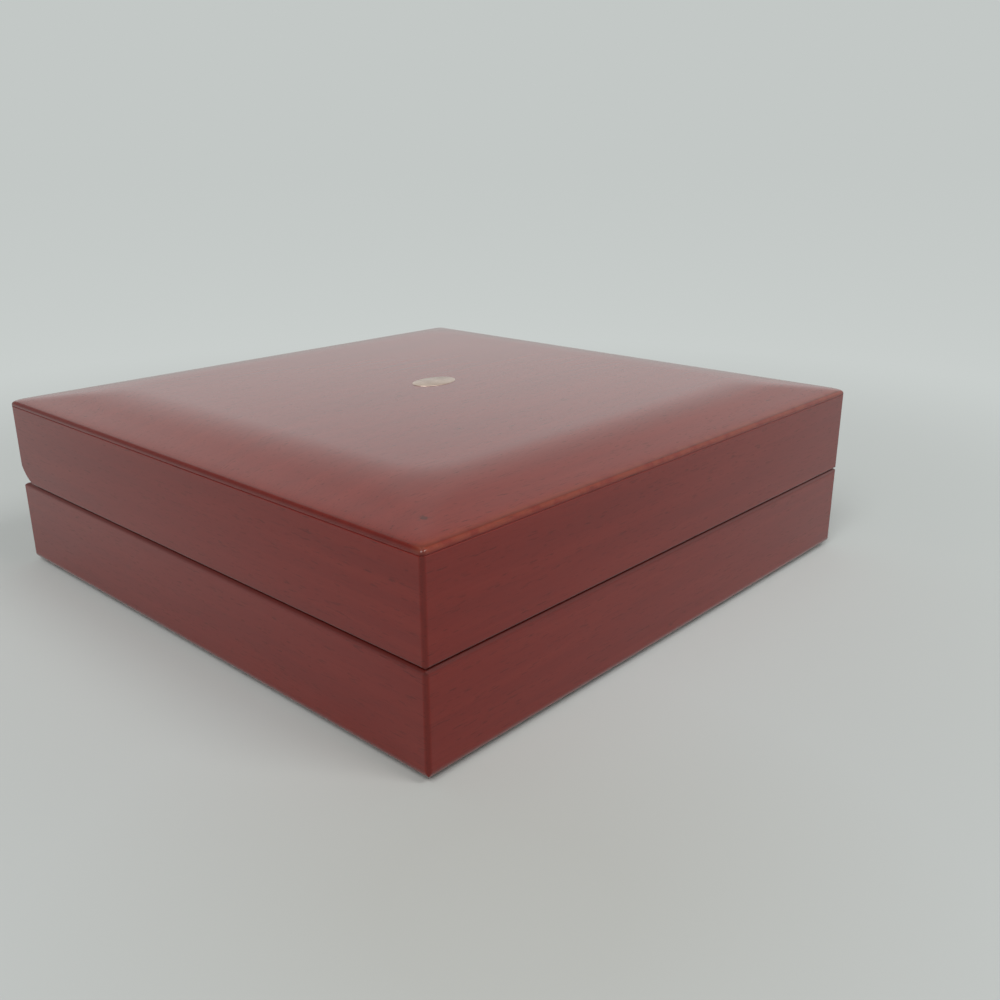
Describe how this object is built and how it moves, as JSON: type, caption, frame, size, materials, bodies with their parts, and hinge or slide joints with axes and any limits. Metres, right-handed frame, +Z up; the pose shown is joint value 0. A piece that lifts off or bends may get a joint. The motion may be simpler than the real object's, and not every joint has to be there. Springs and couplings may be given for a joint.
{
  "type": "hinged jewelry case with stacked trays",
  "caption": "Square lacquered wood case with a pillow-top lid on brass butt hinges and stacked velvet trays inside",
  "frame": {"origin": "centre of the underside of the felt, which is the centre of the footprint", "axes": "+Z up, -Y towards the front that opens, the hinges are at +Y"},
  "size_m": [0.19, 0.19, 0.0591],
  "materials": {
    "lacquered_mahogany": "satin lacquer",
    "bottom_board": "satin lacquer",
    "underside_felt": "felt",
    "tray_velvet": "short velvet",
    "lid_satin": "satin weave",
    "brass": "polished",
    "nickelled_steel": "plated"
  },
  "bodies": {
    "base": {"base_front_rail": "lacquered_mahogany", "base_right_rail": "lacquered_mahogany", "base_back_rail": "lacquered_mahogany", "base_left_rail": "lacquered_mahogany", "base_bottom_panel": "bottom_board", "base_felt": "underside_felt", "base_floor_lining": "tray_velvet", "base_magnets": "nickelled_steel", "left_hinge_base_leaf": "brass", "right_hinge_base_leaf": "brass", "left_hinge_pin": "brass", "right_hinge_pin": "brass", "base_hinge_screws": "brass", "lower_tray_floor": "tray_velvet", "lower_tray_front_wall": "tray_velvet", "lower_tray_right_wall": "tray_velvet", "lower_tray_back_wall": "tray_velvet", "lower_tray_left_wall": "tray_velvet", "lower_tray_left_divider": "tray_velvet", "lower_tray_right_divider": "tray_velvet", "lower_tray_front_divider": "tray_velvet", "lower_tray_back_divider": "tray_velvet", "upper_tray_floor": "tray_velvet", "upper_tray_front_wall": "tray_velvet", "upper_tray_right_wall": "tray_velvet", "upper_tray_back_wall": "tray_velvet", "upper_tray_left_wall": "tray_velvet", "upper_tray_long_divider": "tray_velvet", "upper_tray_cross_divider": "tray_velvet", "upper_tray_short_divider": "tray_velvet", "ring_roll_1": "tray_velvet", "ring_roll_2": "tray_velvet", "ring_roll_3": "tray_velvet", "ring_roll_4": "tray_velvet", "ring_roll_5": "tray_velvet", "ring_roll_6": "tray_velvet", "ring_roll_7": "tray_velvet"},
    "lid": {"lid_front_rail": "lacquered_mahogany", "lid_right_rail": "lacquered_mahogany", "lid_back_rail": "lacquered_mahogany", "lid_left_rail": "lacquered_mahogany", "lid_top_panel": "lacquered_mahogany", "lid_inlay": "brass", "lid_lining": "lid_satin", "lid_magnets": "nickelled_steel", "left_hinge_lid_leaf": "brass", "right_hinge_lid_leaf": "brass", "lid_hinge_screws": "brass"}
  },
  "joints": [
    {"name": "lid_hinge", "type": "hinge", "parent": "base", "child": "lid", "pos_m": [0, 0.0915, 0.0278], "axis": [-1, 0, 0], "range_deg": [0, 100]}
  ]
}
